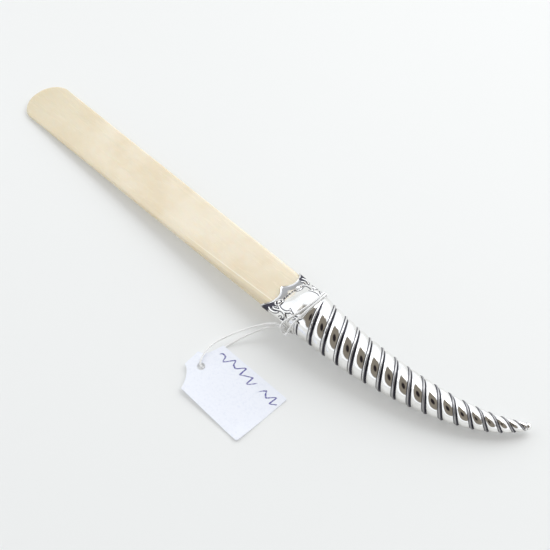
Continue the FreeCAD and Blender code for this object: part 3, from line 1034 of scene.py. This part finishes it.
def makeBlade(look):
    table = np.array(look["stations"])
    length = neckSet["bladeLength"]
    lift = neckSet["rootHeight"] - neckSet["tipThickness"] / 2
    slope = math.atan(lift / length)
    tipSteps = look["tipRound"] * (1 - np.cos(np.linspace(0.06, math.pi / 2, 40)))
    body = np.arange(-length + look["tipRound"] + look["ringGap"], look["inCollar"], look["ringGap"])
    along = np.concatenate([-length + tipSteps, body])
    points = []
    for x in along:
        half = (look["rootWidth"] + (look["tipWidth"] - look["rootWidth"]) * min(1.0, -x / length)) / 2
        fromTip = x + length
        if fromTip < look["tipRound"]:
            half *= math.sqrt(1 - (1 - fromTip / look["tipRound"]) ** 2)
        nose = min(1.0, fromTip / look["nose"])
        thin = 0.25 + 0.75 * math.sqrt(1 - (1 - nose) ** 2)
        top = np.interp(x, table[:, 0], table[:, 1]) / 2 * thin
        edge = np.interp(x, table[:, 0], table[:, 2]) / 2 * thin
        flat = max(half - (top - edge) / look["bevel"], 0.35 * half)
        middle = 0.4 * flat
        upper = [(half, edge), (flat, top), (middle, top), (-middle, top), (-flat, top), (-half, edge)]
        outline = upper + [(-y, -z) for y, z in upper]
        ring = roundCorners([np.array(c) for c in outline], look["cornerRadius"], look["cornerSteps"])
        for y, z in ring:
            points.append((x * math.cos(slope) - z * math.sin(slope), y,
                           neckSet["rootHeight"] + x * math.sin(slope) + z * math.cos(slope)))
    columns = len(outline) * look["cornerSteps"]
    faces = gridFaces(len(along), columns, closed=True)
    faces.append(tuple(reversed(range(columns))))
    faces.append(tuple(range(len(points) - columns, len(points))))
    return meshPiece("boneBlade", toFrame(points), faces, bone)


finishPiece(makeBlade(boneBladeSet), "knife", "bone", "blade")
print("blade ready")

# the card tag
tagSet = {
    "thickness": 0.32,
    "width": 29.2,
    "length": 37.3,
    "shoulder": 0.6,
    "tabEnd": 6.0,
    "tabWidth": 8.4,
    "hole": 1.75,
    "turn": 1.6,              # degrees, seen from above
    "rise": 1.45,             # the tab's end stands this much higher than the other
    "place": (-0.9, -47.5),   # middle of the hole
    "corner": 0.8,
    "curl": 0.5,              # the long edges bow up
    "lip": 0.5,               # and so does the near corner
    "clear": 0.02,            # gap to the table
    # how far the cut corners stray from the square: far and near shoulder, far and near end
    "stray": ((-0.9, -0.9), (1.2, 1.2), (-0.3, -0.3), (-1.7, 0.1)),
    "rings": 26,
}


def tagOutline(look):
    half, tab = look["width"] / 2, look["tabWidth"] / 2
    shoulder = curveThrough([
        (look["shoulder"], half), (-0.35, half * 0.80), (-look["tabEnd"] * 0.32, tab + (half - tab) * 0.34),
        (-look["tabEnd"] * 0.62, tab * 1.26), (-look["tabEnd"], tab)], 24)
    corner = look["corner"]
    upper = [(look["length"], half - corner), (look["length"] - 0.3 * corner, half - 0.3 * corner),
             (look["length"] - corner, half)]
    side = [(x, half) for x in np.linspace(look["length"] - corner, look["shoulder"], 30)[1:-1]]
    upperSide = upper + side + [tuple(p) for p in shoulder]
    end = [(-look["tabEnd"], y) for y in np.linspace(tab, -tab, 9)[1:-1]]
    lowerSide = [(x, -y) for x, y in reversed(upperSide)]
    foot = [(look["length"], y) for y in np.linspace(-half + corner, half - corner, 24)[1:-1]]
    return np.array(upperSide + end + lowerSide + foot)


def makeTag(look):
    outline = tagOutline(look)
    bearing = np.arctan2(outline[:, 1], outline[:, 0])
    inner = np.stack([np.cos(bearing), np.sin(bearing)], axis=1) * look["hole"]
    points = []
    for share in np.linspace(0, 1, look["rings"]) ** 0.8:
        points.append(inner * (1 - share) + outline * share)
    flat = np.concatenate(points)
    slope = math.atan(look["rise"] / (look["length"] + look["tabEnd"]))
    turn = math.radians(look["turn"])
    along, across = flat[:, 0], flat[:, 1]
    reach = np.clip(along / look["length"], 0, 1)
    wide = np.abs(across) / (look["width"] / 2)
    bow = look["curl"] * (wide ** 2.2 * (1 - 0.55 * reach) - 0.18 * np.sin(reach * math.pi))
    lip = look["lip"] * smooth(0.82, 1.0, reach) * smooth(-0.2, 1.0, -across / (look["width"] / 2))
    height = (look["length"] - along) * math.sin(slope) + np.maximum(0, bow) + lip
    height = height + look["thickness"] + look["clear"]
    farSide = (across / look["width"] + 0.5)[:, None]
    stray = [np.array(corner) for corner in look["stray"]]
    shoulder = stray[0] * farSide + stray[1] * (1 - farSide)
    end = stray[2] * farSide + stray[3] * (1 - farSide)
    grow = smooth(2.5, 12.0, np.hypot(along, across))[:, None]
    moved = flat + (shoulder * (1 - reach[:, None]) + end * reach[:, None]) * grow
    x = look["place"][0] + moved[:, 0] * math.cos(turn) - moved[:, 1] * math.sin(turn)
    y = look["place"][1] + moved[:, 0] * math.sin(turn) + moved[:, 1] * math.cos(turn)
    faces = [(a, d, c, b) for a, b, c, d in gridFaces(look["rings"], len(outline), closed=True)]
    tag = meshPiece("cardTag", toFrame(np.stack([x, y, height], axis=1)), faces, card)
    layer = tag.data.uv_layers.new(name="card")
    corners = np.array([loop.vertex_index for loop in tag.data.loops])
    layer.data.foreach_set("uv", flat[corners].astype(np.float32).ravel())
    thicken(tag, look["thickness"])
    return settle(tag, sharp=40)


finishPiece(makeTag(tagSet), "tag", "card", "stock_tag")
print("tag ready")

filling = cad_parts["pitch_filling"]
filling.data.materials.clear()
filling.data.materials.append(pitch)

# floor and light
studioSet = {
    "floor": (0.62, 0.63, 0.625),
    "floorGlow": 0.225,       # the floor is lit a little from below
    # place, target, size and power of each light
    "key": ((60.0, 520.0, 620.0), (20.0, -20.0, 0.0), 0.75, 2.9),
    "fill": ((-500.0, -250.0, 520.0), (0.0, 0.0, 0.0), 0.7, 0.9),
    "sky": (0.93, 0.96, 1.0),
    "skyStrength": 1.2,
    "opening": (0.20, 0.18, 0.15),
    "core": (0.015, 0.012, 0.014),
    # cosines of the angle from the opening's middle: where each one's edge starts and ends
    "openingEdge": (0.62, 0.72),
    "coreEdge": (0.945, 0.985),
}


def makeFloor(colour, glow):
    material, tree = startMaterial(
        "paperFloor", Roughness=0.7, Specular_IOR_Level=0.2, Emission_Color=(1.0, 1.0, 0.99, 1.0),
        Emission_Strength=glow)
    soft = noiseOf(tree, objectPlace(tree), 3.0, 2.0)
    darker = tuple(0.985 * c for c in colour)
    mixed = mixColour(tree, soft.smooth(0.3, 0.7), colour, darker)
    tree.links.new(mixed, tree.nodes["Principled BSDF"].inputs["Base Color"])
    corners = [(-4, -4, 0), (4, -4, 0), (4, 4, 0), (-4, 4, 0)]
    floor = meshPiece("floor", corners, [(0, 1, 2, 3)], material, smooth=False)


def makeLight(name, place, target, size, power):
    data = bpy.data.lights.new(name, "AREA")
    data.shape = "DISK"
    data.size = size
    data.energy = power
    light = bpy.data.objects.new(name, data)
    scene.collection.objects.link(light)
    light.location = Vector(place) * mm
    light.rotation_euler = (Vector(target) - Vector(place)).to_track_quat("-Z", "Y").to_euler()


def makeSky(look):
    # a white tent all round, with a grey opening high up on the camera's side and a dark core in it
    world = bpy.data.worlds.new("tent")
    scene.world = world
    world.use_nodes = True
    tree = world.node_tree
    way = addNode(tree, "ShaderNodeTexCoord").outputs["Generated"]
    facing = addNode(tree, "ShaderNodeVectorMath", {0: way, 1: tuple(towardsCamera)}, operation="DOT_PRODUCT")
    facing = Sum(tree, facing.outputs["Value"])
    colour = mixColour(tree, facing.smooth(*look["openingEdge"]), look["sky"], look["opening"])
    colour = mixColour(tree, facing.smooth(*look["coreEdge"]), colour, look["core"])
    background = tree.nodes["Background"]
    tree.links.new(colour, background.inputs["Color"])
    background.inputs["Strength"].default_value = look["skyStrength"]


makeFloor(studioSet["floor"], studioSet["floorGlow"])
makeLight("key", *studioSet["key"])
makeLight("fill", *studioSet["fill"])
makeSky(studioSet)
print("studio ready")
